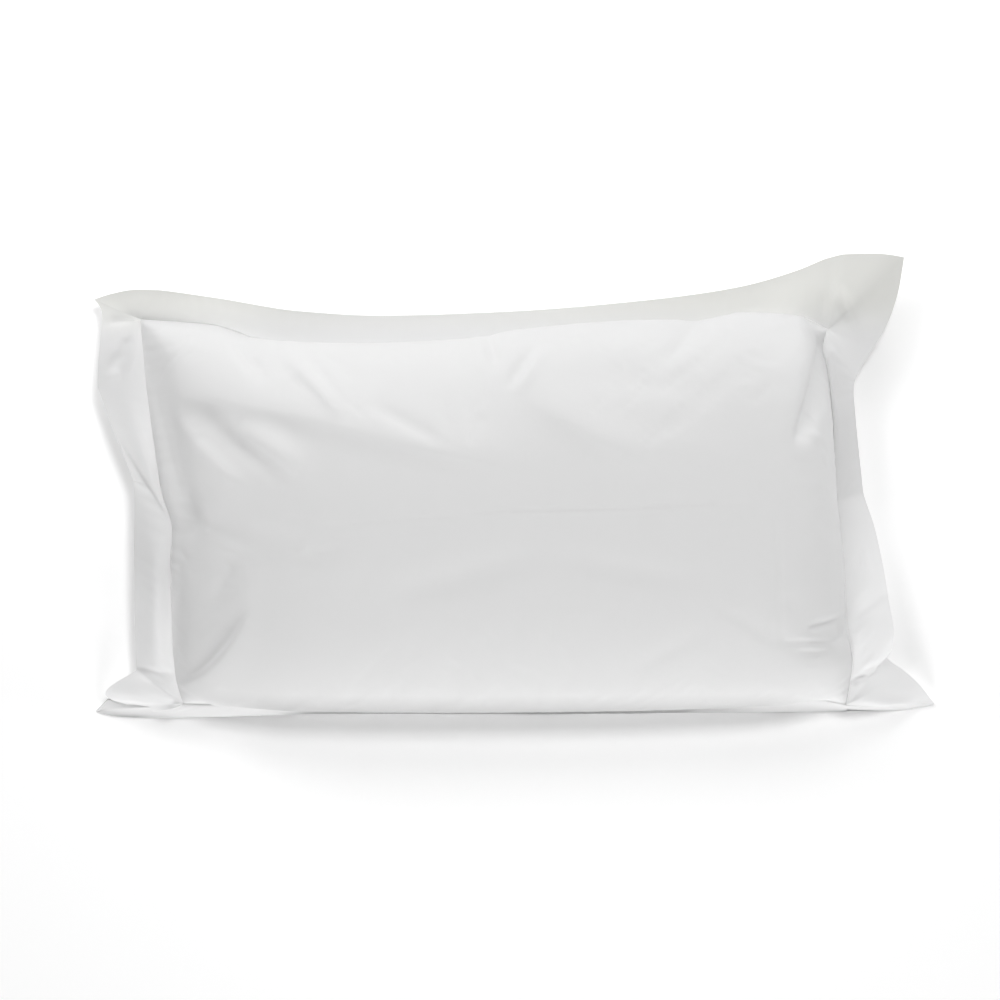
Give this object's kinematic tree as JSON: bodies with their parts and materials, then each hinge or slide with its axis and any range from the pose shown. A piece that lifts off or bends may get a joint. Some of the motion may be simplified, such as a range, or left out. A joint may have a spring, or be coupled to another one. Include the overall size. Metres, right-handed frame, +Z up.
{
  "type": "filled pillowcase with a flat border",
  "caption": "A plump rectangular pillow in a white cotton case with a broad flat stitched border, lying on its back.",
  "frame": {"origin": "On the surface that the pillowcase lies on, under the middle of its whole outline.", "axes": "+X runs along the long sides, to the right seen from above; +Y runs towards the pillow's upper long side; +Z is up, out of the pillow's face."},
  "size_m": [0.9066, 0.5074, 0.1696],
  "materials": {
    "pocket_cotton": "smooth white woven cotton",
    "border_cotton": "smooth white woven cotton, two layers stitched together"
  },
  "bodies": {
    "root": {"filled_pocket": "pocket_cotton", "border": "border_cotton"}
  },
  "joints": []
}
